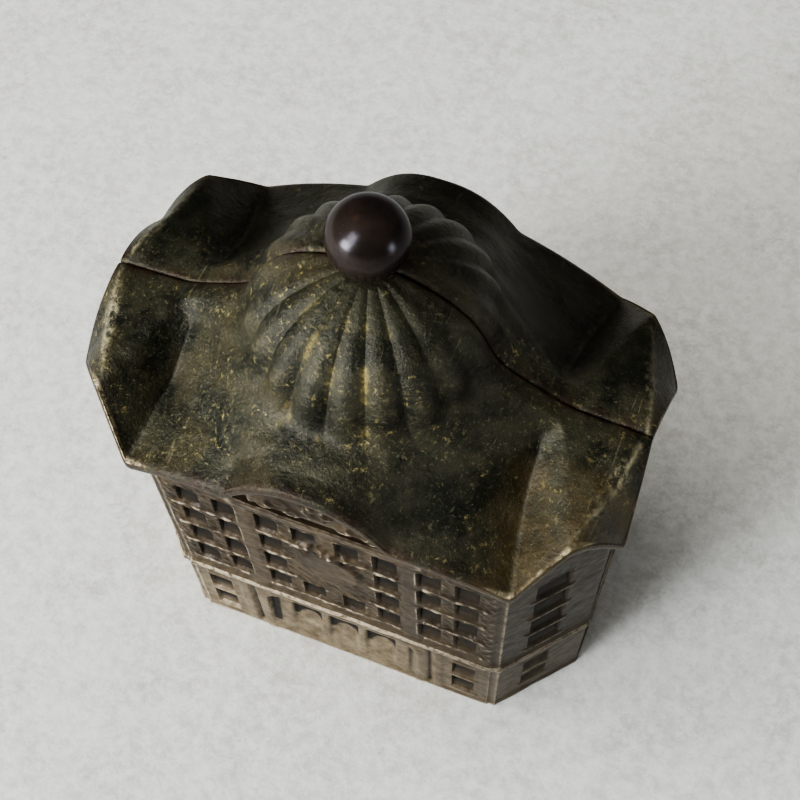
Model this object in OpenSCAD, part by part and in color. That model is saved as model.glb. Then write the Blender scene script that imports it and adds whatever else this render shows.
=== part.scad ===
// Cast iron still bank: a domed building in two clamped half shells.
// Origin: middle of the base. X runs along the front, -Y is the front, +Z is up.

/* [Body] */
// Width of the flat front wall
front_w = 58.7; // [54:0.1:72]
// Width over the two end walls
body_w = 86.6; // [80:0.1:104]
// Depth from front wall to back wall
body_d = 50.6; // [42:0.1:62]
// Length of each flat end wall
end_l = 21.8; // [16:0.1:28]
// Width of the narrow strip at each front corner
strip_w = 2; // [1:0.1:4]
// Thickness of the walls
wall_t = 2.4; // [1.8:0.1:3.2]
// Thickness of the floor
floor_t = 2.4; // [1.8:0.1:3.2]
// Gap between the two castings at the seam
seam_gap = 0.16; // [0.05:0.01:0.4]

/* [Storeys] */
// Height of the underside of the ledge above the ground floor
ledge_z = 24.2; // [20:0.1:29]
// Height of the ledge
ledge_h = 1.7; // [1:0.1:2.5]
// How far the ledge stands out
ledge_out = 0.7; // [0.3:0.1:1.2]
// Height of one upper storey
storey_h = 8.7; // [7.5:0.1:9.5]
// Height of the lowest upper window sill
first_sill = 30.8; // [28:0.1:33]
// Height of a window
window_h = 5.9; // [4:0.1:6.6]
// Width of a window in the front and back walls
window_w = 3.8; // [2.5:0.1:4.6]
// Width of a window in the corner walls
corner_window_w = 6.2; // [4:0.1:8]
// Depth of the blind window recesses
recess = 0.8; // [0.4:0.1:1.1]

/* [Front] */
// Length of the coin slot
slot_l = 31; // [26:0.5:33]
// Height of the coin slot
slot_h = 3; // [2:0.1:3.4]
// Height of the lower edge of the slot
slot_z = 67.2; // [66:0.1:69]
// Diameter of the round plaque
plaque_d = 11; // [8:0.5:13]
// How far the plaque and the arch relief stand out
relief_out = 0.7; // [0.3:0.1:1.2]
// Width of the recessed entrance
portal_w = 30; // [26:0.5:33]
// Height of the recessed entrance
portal_h = 21; // [18:0.5:23]
// Depth of the recessed entrance
portal_depth = 1.6; // [0.8:0.1:1.9]
// Width of each of the three doors
door_w = 6.6; // [5:0.1:7.6]

/* [Roof] */
// Thickness of the roof, measured upright
roof_t = 2.2; // [1.6:0.1:3]
// How far the eaves stand out over the front wall
eave_out = 4.55; // [2.5:0.1:6]
// How far the eaves stand out over the end walls
end_eave_out = 2.3; // [1.5:0.1:4]
// Height of the eave at the four front and back tips
tip_z = 73.1; // [71:0.1:75]
// Height of the eave at the four end tips
end_tip_z = 74.6; // [73:0.1:77]
// Height of the eave at the foot of the big arch
arch_foot_z = 80.3; // [78:0.1:82]
// Height of the eave at the top of the big arch
arch_top_z = 88.8; // [86:0.1:90]
// Half width of the big arch
arch_half = 13.3; // [12:0.1:15]
// Height of the eave over the middle of each corner wall
corner_peak_z = 82.6; // [80:0.1:84]
// Height of the seam at its ends
seam_end_z = 84; // [82:0.1:86]

/* [Dome] */
// Height of the foot of the dome
dome_z = 91.6; // [90:0.1:93]
// Diameter of the dome at its foot, over the lobes
dome_d = 39.6; // [34:0.2:43]
// Height of the dome
dome_h = 16.8; // [14:0.1:20]
// Number of lobes
lobes = 20; // [12:4:24]
// Depth of the grooves between the lobes
groove = 1.1; // [0.4:0.1:1.6]
// Thickness of the dome
dome_t = 2.2; // [1.6:0.1:3]

/* [Ball] */
// Diameter of the ball
ball_d = 12.1; // [10:0.1:15]
// Diameter of the ball's stem
stem_d = 4; // [3:0.1:5]
// Diameter of the collar under the crown
collar_d = 7; // [6:0.1:9]

/* [Screw] */
// Height of the screw above the base
screw_z = 49.3; // [44:0.1:54]
// Diameter of the screw's shank
screw_d = 4; // [3:0.1:5]
// Diameter of the screw's head
head_d = 7.6; // [6.5:0.1:9]
// Height of the screw's round head
head_h = 2.4; // [1.8:0.1:3]
// Diameter of the tapped post
post_d = 8.4; // [7:0.1:10]
// Depth of the thread in the post
thread_l = 14; // [8:0.5:18]

/* [Hidden] */

// Clearance of the shank in the tapped post, on the radius
thread_gap = 0.06;
// Clearance of the shank in the back wall, on the radius
shank_gap = 0.2;
// Clearance of the stem in the crown, on the radius
stem_gap = 0.08;
// Clearance between the lugs and the wall that they locate in
lug_gap = 0.35;
// Clearance between the collar's upper edge and the dome's inner face
collar_gap = 0.25;
// How deep a piece that stands on a wall starts inside it
bite = 0.3;
// How far a cutter reaches past the face that it cuts
cut_past = 1;

half_front = front_w / 2;
half_w = body_w / 2;
half_d = body_d / 2;
half_end = end_l / 2;
strip_turn = 15.6;
strip_x = half_front + strip_w * cos(strip_turn);
strip_y = half_d - strip_w * sin(strip_turn);
// Height that the plain walls reach, before they run up into the roof
wall_top = 66;
// Height above which nothing of the walls is left
roof_cut_top = 96;
bore_fn = 48;

// Half of the body's outline, from one end of the seam round the front to the other.
body_half = [
    [half_w, 0], [half_w, -half_end], [strip_x, -strip_y], [half_front, -half_d],
    [-half_front, -half_d], [-strip_x, -strip_y], [-half_w, -half_end], [-half_w, 0]
];

function unit(v) = v / norm(v);
function inward(a, b) = let (d = unit(b - a)) [d[1], -d[0]];
// Where the line through p along d crosses the line through q along e
function meet(p, d, q, e) = p + d * (cross(q - p, e) / cross(d, e));
// An open outline moved inwards by t, with its ends still on the seam.
function inset(pts, t) = let (last = len(pts) - 1) [
    for (i = [0 : last])
        let (
            before = i == 0 ? [0, 1] : pts[i] - pts[i - 1],
            after = i == last ? [0, 1] : pts[i + 1] - pts[i],
            side_a = i == 0 ? [0, 0] : inward(pts[i - 1], pts[i]) * t,
            side_b = i == last ? [0, 0] : inward(pts[i], pts[i + 1]) * t
        )
        i == 0 ? [pts[0][0] + side_b[0], 0]
        : i == last ? [pts[last][0] + side_a[0], 0]
        : meet(pts[i] + side_a, before, pts[i] + side_b, after)
];

module plan_solid(grow, height) {
    linear_extrude(height) polygon(inset(body_half, -grow));
}

// ---- The roof is a grid of columns round the eave and rows up to the dome. ----

// How far the front tips stand past the corner strip, and how far they lie behind the eave
tip_past = 0.85;
tip_back = 1.75;
// How far the end tips stand past the end wall, and how far the seam's end lies behind them
end_tip_past = 3.4;
seam_back = 1.2;
// How far the corner's peak lies inside the line between its two tips
peak_in = [0.2, 0.15];
// How deep the dome's foot is sunk into the roof
crown_sink = 0.2;

eave_y = half_d + eave_out;
tip_x = strip_x + tip_past;
tip_y = eave_y - tip_back;
end_tip_x = half_w + end_eave_out;
end_tip_y = half_end + end_tip_past;
seam_x = end_tip_x - seam_back;
peak_x = (tip_x + end_tip_x) / 2 - peak_in[0];
peak_y = (tip_y + end_tip_y) / 2 - peak_in[1];
crown_r = dome_d / 2 - groove - dome_t / 2;
crown_z = dome_z - crown_sink;

// Each row lists its five stretches: end seam, end tip, corner peak, tip, arch foot, arch top.
eave_row = [
    [seam_x, 0, seam_end_z], [end_tip_x, -end_tip_y, end_tip_z],
    [peak_x, -peak_y, corner_peak_z], [tip_x, -tip_y, tip_z],
    [arch_half, -eave_y, arch_foot_z], [0, -eave_y + 0.2, arch_top_z]
];
break_row = [
    [seam_x - 0.9, 0, seam_end_z + 0.1],
    [(seam_x + peak_x) / 2 - 0.4, -peak_y / 2, (seam_end_z + corner_peak_z) / 2 + 0.6],
    [peak_x - 0.8, -peak_y + 0.8, corner_peak_z + 0.3], [tip_x - 1, -tip_y + 4.1, tip_z + 1.1],
    [arch_half - 0.4, -eave_y + 3.4, arch_foot_z + 2], [0, -eave_y + 3.6, arch_top_z + 0.5]
];
// How far in from the eave each end of the fold row lies, towards the crown
fold_share = 0.474;
front_fold_share = 0.6;
fold_x = mix(seam_x, crown_r, fold_share);
// Turn from the front at which each column of the grid meets the crown
crown_turn = [90, 85, 80, 58, 26, 0];
function crown_at(a) = [crown_r * sin(a), -crown_r * cos(a), crown_z];
arch_crown = crown_at(crown_turn[4]);
arch_foot_fold = mix(eave_row[4], arch_crown, front_fold_share);
fold_row = [
    [fold_x, 0, seam_end_z + 1], [fold_x - 0.1, -1.5, seam_end_z + 1.1],
    [fold_x - 0.2, -2.9, seam_end_z + 1.2], [fold_x - 2.8, -4.8, seam_end_z - 0.2],
    [mix(arch_half, arch_crown[0], 0.4), arch_foot_fold[1], arch_foot_fold[2]],
    mix(eave_row[5], crown_at(0), front_fold_share)
];
// Share of the way from the eave to the fold row: first in plan, then in height
slope_plan = [0.5, 0.63, 0.53, 0.605, 0.69, 0.75];
slope_height = [0.4, 0.94, 0.64, 0.45, 0.58, 0.62];
// The valley behind the front tip runs this far nearer to the middle
valley_shift = -1.6;
slope_row = [for (k = [0 : 5])
    let (p = mix(eave_row[k], fold_row[k], slope_plan[k]))
    [p[0] + (k == 3 ? valley_shift : 0), p[1],
     mix(eave_row[k][2], fold_row[k][2], slope_height[k])]
];
crown_row = [for (a = crown_turn) crown_at(a)];

// Columns of the grid in each stretch
steps = [6, 6, 6, 8, 10];
// How far each stretch of the eave bows up between its ends
bow = [2.2, 2, 0.4, 0.9, 0];
arch_power = 2.4;

function mix(a, b, t) = a + (b - a) * t;
function bowed(a, b, t, rise) = mix(a, b, t) + [0, 0, 4 * rise * t * (1 - t)];
function arched(a, b, t) =
    [mix(a[0], b[0], t), mix(a[1], b[1], t), mix(b[2], a[2], pow(1 - t, arch_power))];
function stretch(row, k, t, share) =
    k == 4 ? arched(row[4], row[5], t) : bowed(row[k], row[k + 1], t, bow[k] * share);
function quarter(row, share) = [
    for (k = [0 : 4], i = [0 : steps[k] - 1]) stretch(row, k, i / steps[k], share)
];
function flip_x(p) = [-p[0], p[1], p[2]];
function half_row(row, share) = let (q = quarter(row, share), n = len(q)) concat(
    q, [row[5]], [for (i = [0 : n - 1]) flip_x(q[n - 1 - i])]
);
// Share of the eave's bow that each row keeps
break_bow = 0.35;
slope_bow = 0.1;
roof_rows = [
    half_row(eave_row, 1), half_row(break_row, break_bow), half_row(slope_row, slope_bow),
    half_row(fold_row, 0), half_row(crown_row, 0)
];

function flat(rows) = [for (row = rows, p = row) p];
function lowered(rows, t) = [for (row = rows) [for (p = row) p - [0, 0, t]]];
function at_height(rows, z) = [for (row = rows) [for (p = row) [p[0], p[1], z]]];
// A closed solid between an upper and a lower grid of the same shape.
module between_grids(upper, lower) {
    r = len(upper);
    c = len(upper[0]);
    n = r * c;
    function id(j, i, s) = s * n + j * c + i;
    top = [for (j = [0 : r - 2], i = [0 : c - 2])
        each [[id(j, i, 0), id(j, i + 1, 0), id(j + 1, i, 0)],
              [id(j, i + 1, 0), id(j + 1, i + 1, 0), id(j + 1, i, 0)]]];
    bottom = [for (j = [0 : r - 2], i = [0 : c - 2])
        each [[id(j, i, 1), id(j + 1, i, 1), id(j, i + 1, 1)],
              [id(j, i + 1, 1), id(j + 1, i, 1), id(j + 1, i + 1, 1)]]];
    rims = [for (i = [0 : c - 2])
        each [[id(0, i, 0), id(0, i, 1), id(0, i + 1, 1)],
              [id(0, i, 0), id(0, i + 1, 1), id(0, i + 1, 0)],
              [id(r - 1, i, 0), id(r - 1, i + 1, 0), id(r - 1, i + 1, 1)],
              [id(r - 1, i, 0), id(r - 1, i + 1, 1), id(r - 1, i, 1)]]];
    ends = [for (j = [0 : r - 2])
        each [[id(j, 0, 0), id(j + 1, 0, 0), id(j + 1, 0, 1)],
              [id(j, 0, 0), id(j + 1, 0, 1), id(j, 0, 1)],
              [id(j, c - 1, 0), id(j + 1, c - 1, 1), id(j + 1, c - 1, 0)],
              [id(j, c - 1, 0), id(j, c - 1, 1), id(j + 1, c - 1, 1)]]];
    polyhedron(concat(flat(upper), flat(lower)), concat(top, bottom, rims, ends), convexity = 8);
}

module roof_shell() {
    between_grids(roof_rows, lowered(roof_rows, roof_t));
}

// Everything under the middle of the roof's thickness, down to the plain wall.
module under_roof() {
    between_grids(lowered(roof_rows, roof_t / 2), at_height(roof_rows, wall_top - 1));
}

// ---- The dome: lobes between upright grooves, on a round inner face. ----

dome_steps = 8;
lobe_steps = 4;
crown_hole_r = stem_d / 2 + stem_gap;
// Radius at which the lobes end and the crown is flat
crown_top_r = 4.6;
// Share by which the grooves grow shallower towards the crown
groove_fade = 0.6;
function dome_r(t) = dome_d / 2 * sqrt(1 - t * t);
function lobe_r(a, t) =
    let (phase = abs(sin(a * lobes / 2)))
    dome_r(t) - groove * (1 - phase) * (1 - groove_fade * t);
dome_t_end = sqrt(1 - pow(crown_top_r / (dome_d / 2), 2));
dome_rows = [
    for (j = [0 : dome_steps])
        let (t = dome_t_end * sin(90 * j / dome_steps))
        [for (i = [0 : lobes / 2 * lobe_steps])
            let (a = -90 + 360 / lobes * i / lobe_steps, r = lobe_r(a, t))
            [-r * sin(a), -r * cos(a), dome_z + dome_h * t]]
];
dome_foot = [for (p = dome_rows[0]) [p[0], p[1], dome_z - roof_t + 2 * crown_sink]];

// The dome's outside as a closed half solid, with its flat face on the seam.
module dome_outside() {
    rows = concat([dome_foot], dome_rows);
    r = len(rows);
    c = len(rows[0]);
    points = concat(flat(rows), [[0, 0, rows[0][0][2]], [0, 0, rows[r - 1][0][2]]]);
    low = r * c;
    high = low + 1;
    skin = [for (j = [0 : r - 2], i = [0 : c - 2])
        each [[j * c + i, j * c + i + 1, (j + 1) * c + i],
              [j * c + i + 1, (j + 1) * c + i + 1, (j + 1) * c + i]]];
    caps = [for (i = [0 : c - 2])
        each [[i + 1, i, low], [(r - 1) * c + i, (r - 1) * c + i + 1, high]]];
    cut = [concat(
        [low], [for (j = [0 : r - 1]) j * c], [high],
        [for (j = [r - 1 : -1 : 0]) j * c + c - 1]
    )];
    polyhedron(points, concat(skin, caps, cut), convexity = 8);
}

// The crown is this much thicker than the dome
crown_extra = 0.6;
dome_in_r = dome_d / 2 - groove - dome_t;
dome_in_h = dome_h - dome_t - crown_extra;
dome_in_foot = dome_z - 6;
inside_steps = 10;
inside_turn = 84;
module dome_inside() {
    rotate_extrude($fn = 96) polygon(concat(
        [[0, dome_in_foot], [dome_in_r, dome_in_foot]],
        [for (j = [0 : inside_steps])
            let (a = inside_turn * j / inside_steps)
            [dome_in_r * cos(a), dome_z + dome_in_h * sin(a)]],
        [[0, dome_z + dome_in_h * sin(inside_turn)]]
    ));
}

// ---- Relief of the walls. ----

// Middle of each window bay, outwards from the middle of the front
bay_x = [3.8, 10.5, half_front - 11.25, half_front - 4.65];
storeys = [0 : 3];
wing_x = bay_x[3];
// Ground-floor windows of the wings: size and sills
ground_w = window_w + 0.8;
ground_h = 6.8;
ground_sills = [4.4, 13.4];
// Ground-floor windows of the corner walls: size and sills
corner_ground_w = corner_window_w - 1;
corner_ground_h = 4.6;
corner_ground_sills = [6.6, 14.8];
// The corner windows are a little taller, lower, and off the middle of their wall
corner_drop = 1;
corner_taller = 0.4;
corner_share = 0.47;
door_pitch = 7.6;
door_top = 18.6;
door_step = 2;
door_out = 0.8;
corner_run = [half_w - strip_x, strip_y - half_end];
corner_l = norm(corner_run);
corner_turn = atan2(corner_run[1], corner_run[0]);

// A blind window, centred on x, cut from an upright wall whose face is y = 0.
module window_cut(w, h, z) {
    translate([-w / 2, -cut_past, z]) cube([w, cut_past + recess, h]);
}

module front_windows() {
    for (side = [-1, 1], k = storeys, b = [0 : 3])
        if (b > 0 || k == 0 || k == 3)
            translate([side * bay_x[b], -half_d, 0])
                window_cut(window_w, window_h, first_sill + k * storey_h);
    for (side = [-1, 1])
        translate([side * wing_x, -half_d, 0])
            for (sill = ground_sills) window_cut(ground_w, ground_h, sill);
}

module corner_windows() {
    for (side = [0, 1])
        mirror([side, 0, 0])
            translate([strip_x, -strip_y, 0])
                rotate([0, 0, corner_turn])
                    translate([corner_l * corner_share, 0, 0]) {
                        for (k = storeys)
                            window_cut(corner_window_w, window_h + corner_taller,
                                first_sill - corner_drop + k * storey_h);
                        for (sill = corner_ground_sills)
                            window_cut(corner_ground_w, corner_ground_h, sill);
                    }
}

module end_windows() {
    for (side = [0, 1])
        mirror([side, 0, 0])
            translate([half_w, -half_end / 2, 0])
                rotate([0, 0, 90])
                    for (k = storeys)
                        window_cut(window_w, window_h, first_sill + k * storey_h);
}

// A flat panel with a round head, standing on z, with its back on y = 0.
module round_headed(w, h, depth) {
    rotate([90, 0, 0])
        linear_extrude(depth)
            union() {
                translate([-w / 2, 0]) square([w, h - w / 2]);
                translate([0, h - w / 2]) circle(d = w, $fn = bore_fn);
            }
}

module entrance_cut() {
    translate([-portal_w / 2, -half_d - cut_past, door_step])
        cube([portal_w, cut_past + portal_depth, portal_h - door_step]);
}

module doors() {
    for (k = [-1 : 1])
        translate([k * door_pitch, -half_d + portal_depth + 0.1, door_step])
            round_headed(door_w, door_top - door_step, door_out);
}

relief_z = slot_z + slot_h + 0.4;
relief_r = arch_half - 0.8;
// The half disc of relief under the big arch.
module arch_relief() {
    translate([0, -half_d + bite, relief_z])
        rotate([90, 0, 0])
            linear_extrude(relief_out + bite)
                intersection() {
                    circle(r = relief_r, $fn = 96);
                    translate([-arch_half, 0]) square([2 * arch_half, arch_half]);
                }
}

module plaque() {
    translate([0, -half_d + bite, screw_z])
        rotate([90, 0, 0]) cylinder(d = plaque_d, h = relief_out + bite, $fn = 96);
}

module coin_slot() {
    past = relief_out + cut_past;
    translate([-slot_l / 2, -half_d - past, slot_z]) cube([slot_l, wall_t + 2 * past, slot_h]);
}

// ---- One half shell, with its flat edge on y = 0 and its wall towards -Y. ----

// The castings are thicker behind the entrance, so that its recess leaves a full wall.
pad_t = portal_depth;
pad_past = 2;
root = 0.2;
module walls() {
    difference() {
        union() {
            plan_solid(0, wall_top);
            translate([0, 0, ledge_z]) plan_solid(ledge_out, ledge_h);
            intersection() {
                plan_solid(0, roof_cut_top);
                under_roof();
            }
        }
        translate([0, 0, floor_t]) plan_solid(-wall_t, roof_cut_top);
        front_windows();
        corner_windows();
        end_windows();
    }
    translate([-portal_w / 2 - pad_past, -half_d + wall_t - root, floor_t - root])
        cube([portal_w + 2 * pad_past, pad_t + root, portal_h + 1]);
}

module half_shell() {
    difference() {
        union() {
            difference() {
                walls();
                entrance_cut();
            }
            doors();
            arch_relief();
            plaque();
            roof_shell();
            dome_outside();
        }
        dome_inside();
        translate([0, 0, dome_z]) cylinder(r = crown_hole_r, h = dome_h * 2, $fn = bore_fn);
    }
}

// ---- Screw, post, lugs and ball. ----

post_end = -4;
post_root = -half_d + wall_t - root;
bore_from = post_end - thread_l;

module post() {
    difference() {
        translate([0, post_end, screw_z])
            rotate([90, 0, 0]) cylinder(d = post_d, h = post_end - post_root, $fn = bore_fn);
        translate([0, post_end + cut_past, screw_z])
            rotate([90, 0, 0])
                cylinder(r = screw_d / 2 + thread_gap, h = thread_l + cut_past, $fn = bore_fn);
    }
}

lug_t = 1.6;
lug_l = 8;
lug_reach = 2.6;
// Length of the lug's foot on its own end wall, and how far short of the seam that stops
lug_foot = 3.6;
lug_short = 0.4;
lug_x = half_w - wall_t - lug_gap - lug_t;
// Lugs that stand past the seam, inside the other half's end walls.
module lugs() {
    from_y = -lug_foot - lug_short;
    for (side = [0, 1], z = [14, 54])
        mirror([side, 0, 0])
            translate([lug_x, from_y, z]) {
                cube([lug_t, lug_reach - from_y, lug_l]);
                cube([lug_t + lug_gap + root, lug_foot, lug_l]);
            }
}

module front_casting() {
    color([0.30, 0.29, 0.24])
        translate([0, -seam_gap / 2, 0])
            union() {
                difference() {
                    half_shell();
                    coin_slot();
                }
                post();
                lugs();
            }
}

head_y = half_d + relief_out + seam_gap / 2;
module back_casting() {
    color([0.27, 0.26, 0.22])
        difference() {
            translate([0, seam_gap / 2, 0]) mirror([0, 1, 0]) half_shell();
            translate([0, head_y + cut_past, screw_z])
                rotate([90, 0, 0])
                    cylinder(r = screw_d / 2 + shank_gap, h = wall_t + 6 * cut_past, $fn = bore_fn);
        }
}

// The ball stands this far clear of the top of the dome's full curve
ball_lift = 0.2;
ball_z = dome_z + dome_h + ball_d / 2 + ball_lift;
collar_h = 1.4;
// The dome's inner face falls away from the middle, so the collar's edge sets its height.
collar_top = dome_z + dome_in_h * sqrt(1 - pow(collar_d / 2 / dome_in_r, 2)) - collar_gap;
module ball_finial() {
    color([0.24, 0.13, 0.09])
        union() {
            translate([0, 0, ball_z]) sphere(d = ball_d, $fn = 96);
            translate([0, 0, collar_top - collar_h]) {
                cylinder(d = stem_d, h = ball_z - collar_top, $fn = bore_fn);
                cylinder(d = collar_d, h = collar_h, $fn = bore_fn);
            }
        }
}

// The screw's tip stops this far short of the bottom of its bore
tip_short = 2;
screw_tip = bore_from + tip_short;
// Width and depth of the driver's slot in the head
slot_w = 1.1;
slot_depth = 1.3;
// How far the shank runs into the head
shank_in = 0.1;
module assembly_screw() {
    dome_head_r = (pow(head_d / 2, 2) + pow(head_h, 2)) / (2 * head_h);
    color([0.45, 0.43, 0.40])
        difference() {
            union() {
                translate([0, head_y + shank_in, screw_z])
                    rotate([90, 0, 0])
                        cylinder(d = screw_d, h = head_y + shank_in - screw_tip, $fn = bore_fn);
                intersection() {
                    translate([0, head_y + head_h - dome_head_r, screw_z])
                        sphere(r = dome_head_r, $fn = 96);
                    translate([0, head_y + head_h, screw_z])
                        rotate([90, 0, 0]) cylinder(d = head_d + 1, h = head_h, $fn = bore_fn);
                }
            }
            translate([-head_d, head_y + head_h - slot_depth, screw_z - slot_w / 2])
                cube([2 * head_d, slot_depth + cut_past, slot_w]);
        }
}

front_casting();
back_casting();
ball_finial();
assembly_screw();
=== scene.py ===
"""Cast iron still bank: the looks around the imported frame. Lengths in the making are millimetres."""

import math

import bmesh
import bpy
import numpy as np
from mathutils import Matrix, Vector
from mathutils.bvhtree import BVHTree


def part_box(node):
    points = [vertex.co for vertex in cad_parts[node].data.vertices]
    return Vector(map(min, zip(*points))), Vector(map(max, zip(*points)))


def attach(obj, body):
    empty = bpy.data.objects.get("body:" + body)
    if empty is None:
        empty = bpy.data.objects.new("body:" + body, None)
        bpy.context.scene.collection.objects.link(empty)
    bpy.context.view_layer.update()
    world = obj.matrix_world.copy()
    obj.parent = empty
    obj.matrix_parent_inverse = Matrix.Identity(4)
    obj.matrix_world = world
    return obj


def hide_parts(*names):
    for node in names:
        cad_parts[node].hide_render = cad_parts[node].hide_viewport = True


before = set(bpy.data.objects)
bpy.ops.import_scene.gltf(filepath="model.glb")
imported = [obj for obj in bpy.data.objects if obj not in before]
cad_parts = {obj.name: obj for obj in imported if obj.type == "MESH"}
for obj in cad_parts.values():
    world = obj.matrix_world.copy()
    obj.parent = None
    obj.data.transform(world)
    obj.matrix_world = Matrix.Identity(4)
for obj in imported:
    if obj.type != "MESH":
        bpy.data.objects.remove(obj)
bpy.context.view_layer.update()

MM = 0.001
front_low, front_high = (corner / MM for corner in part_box("front_casting"))
back_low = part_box("back_casting")[0] / MM
ball_low, ball_high = (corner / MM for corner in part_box("ball_finial"))
screw_low, screw_high = (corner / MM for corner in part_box("assembly_screw"))

# ---- driving sizes, in mm

SEAM_GAP = 2 * back_low.y
EAVE_X = front_high.x
EAVE_Y = -front_low.y - SEAM_GAP / 2
CROWN_TOP = front_high.z
HALF_FRONT = 29.35
HALF_W = EAVE_X - 2.3
HALF_D = EAVE_Y - 4.55
HALF_END = 10.9
STRIP_X = HALF_FRONT + 1.93
STRIP_Y = HALF_D - 0.54
WALL_T = 2.4
FLOOR_T = 2.4
ROOF_T = 2.2

LEDGE_Z = 24.2
LEDGE_H = 1.7
STOREY_H = 8.7
FIRST_SILL = 30.8
WINDOW_H = 5.9
WINDOW_W = 3.8
WINDOW_IN = 1.5
SLOT_HALF = 15.5
SLOT_Z = 67.2
SLOT_H = 3.0
BAYS = (3.8, 10.5, HALF_FRONT - 11.25, HALF_FRONT - 4.65)

TIP = np.array((STRIP_X + 0.85, -(EAVE_Y - 1.75), 73.1))
END_TIP = np.array((EAVE_X, -(HALF_END + 3.4), 74.6))
SEAM_END = np.array((EAVE_X - 1.2, 0.0, 84.0))
CORNER_PEAK = np.array(((TIP[0] + END_TIP[0]) / 2 - 0.2, (TIP[1] + END_TIP[1]) / 2 + 0.15, 82.6))
ARCH_FOOT = np.array((13.3, -EAVE_Y, 80.3))
ARCH_TOP = np.array((0.0, -EAVE_Y + 0.2, 88.8))

DOME_Z = 91.6
DOME_R = 19.8
DOME_H = CROWN_TOP - DOME_Z + 0.45
LOBES = 20
GROOVE = 1.45
DOME_T = 2.2
CROWN_R = 4.6
HOLE_R = 2.08

BALL_R = (ball_high.x - ball_low.x) / 2
BALL_Z = ball_high.z - BALL_R
SCREW_Z = (screw_low.z + screw_high.z) / 2
PLAQUE_R = 5.5
RELIEF_OUT = 0.7


# ---- small helpers


def mix(a, b, t):
    return a + (b - a) * t


def soft_step(x, edge, soft):
    """0 below the edge and 1 above it, over about soft on each side."""
    return 0.5 * (1 + np.tanh((x - edge) / soft))


def band(x, low, high, soft=0.16):
    return soft_step(x, low, soft) * soft_step(-x, -high, soft)


def panel(x, z, centre, half, low, high, soft=0.16):
    return band(np.abs(x - centre), -1e3, half, soft) * band(z, low, high, soft)


def disc(x, z, cx, cz, radius, soft=0.16):
    return soft_step(-np.hypot(x - cx, z - cz), -radius, soft)


def ring(x, z, cx, cz, radius, width):
    return np.exp(-(((np.hypot(x - cx, z - cz) - radius) / width) ** 2))


def smoothed(grid, times):
    """A grid of values, averaged with its neighbours along both directions."""
    g = grid.copy()
    for _ in range(times):
        p = np.pad(g, 1, mode="edge")
        g = (4 * g + p[:-2, 1:-1] + p[2:, 1:-1] + p[1:-1, :-2] + p[1:-1, 2:]) / 8
    return g


def ground_noise(seed, x, y, cell):
    """Smooth noise between -1 and 1 by place, with cells of one size over the whole object."""
    rng = np.random.default_rng(seed)
    side = 128
    lattice = rng.uniform(-1, 1, (side, side))
    u, v = x / cell + side / 2, y / cell + side / 2
    i, j = np.floor(u).astype(int), np.floor(v).astype(int)
    a, b = u - i, v - j
    a, b = a * a * (3 - 2 * a), b * b * (3 - 2 * b)
    i, j = i % (side - 1), j % (side - 1)
    near = mix(lattice[i, j], lattice[i, j + 1], b)
    far = mix(lattice[i + 1, j], lattice[i + 1, j + 1], b)
    return mix(near, far, a)


def stands_out(grid, times):
    """How far each place of a grid of points stands out of its rounded neighbourhood, in mm."""
    soft = np.stack([smoothed(grid[..., k], times) for k in range(3)], -1)
    along = np.gradient(soft, axis=1)
    down = np.gradient(soft, axis=0)
    normal = np.cross(down, along)
    normal /= np.linalg.norm(normal, axis=-1, keepdims=True) + 1e-9
    return np.sum((grid - soft) * normal, -1)


def in_scene(name, data):
    """A new object in the scene, with this mesh, light or camera."""
    obj = bpy.data.objects.new(name, data)
    bpy.context.scene.collection.objects.link(obj)
    return obj


def from_bmesh(name, bm):
    mesh = bpy.data.meshes.new(name)
    bm.to_mesh(mesh)
    bm.free()
    return in_scene(name, mesh)


def soft_shaded(mesh, sharp_deg=40):
    """Smooth shading, with an edge kept wherever the faces turn by more than an angle."""
    mesh.shade_smooth()
    mesh.set_sharp_from_angle(angle=math.radians(sharp_deg))


def new_object(name, points, faces, sharp_deg=40):
    mesh = bpy.data.meshes.new(name)
    mesh.from_pydata([tuple(p) for p in np.asarray(points, float) * MM], [], faces)
    mesh.validate()
    soft_shaded(mesh, sharp_deg)
    return in_scene(name, mesh)


def set_values(obj, name, values):
    """A value for each point, which the material reads by name."""
    data = obj.data.attributes.new(name, "FLOAT", "POINT")
    full = np.zeros(len(obj.data.vertices), np.float32)
    full[: len(values)] = values
    data.data.foreach_set("value", full)


def grid_faces(rows, cols, start=0, turn=False):
    faces = []
    for j in range(rows - 1):
        for i in range(cols - 1):
            a = start + j * cols + i
            quad = (a, a + 1, a + cols + 1, a + cols)
            faces.append(quad[::-1] if turn else quad)
    return faces


# ---- walls

OUTLINE = np.array(
    [
        (HALF_W, 0), (HALF_W, -HALF_END), (STRIP_X, -STRIP_Y), (HALF_FRONT, -HALF_D),
        (-HALF_FRONT, -HALF_D), (-STRIP_X, -STRIP_Y), (-HALF_W, -HALF_END), (-HALF_W, 0),
    ]
)
CORNER_L = math.hypot(HALF_W - STRIP_X, STRIP_Y - HALF_END)
GRID_STEP = 0.33
FIXED_TOP = 70.6
UPPER_ROWS = 44
FRONT_FACE = 3
STRIP_OUT = 0.18
UNDER_ROOF = 0.985


def inset_outline(t):
    """The outline moved inwards, with its ends still on the seam."""
    sides = []
    for p, q in zip(OUTLINE[:-1], OUTLINE[1:]):
        d = (q - p) / np.linalg.norm(q - p)
        sides.append((p + np.array((d[1], -d[0])) * t, d))
    points = [np.array((sides[0][0][0], 0.0))]
    for (p, d), (q, e) in zip(sides[:-1], sides[1:]):
        r = q - p
        s = (r[0] * e[1] - r[1] * e[0]) / (d[0] * e[1] - d[1] * e[0])
        points.append(p + d * s)
    points.append(np.array((sides[-1][0][0], 0.0)))
    return np.array(points)


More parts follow.
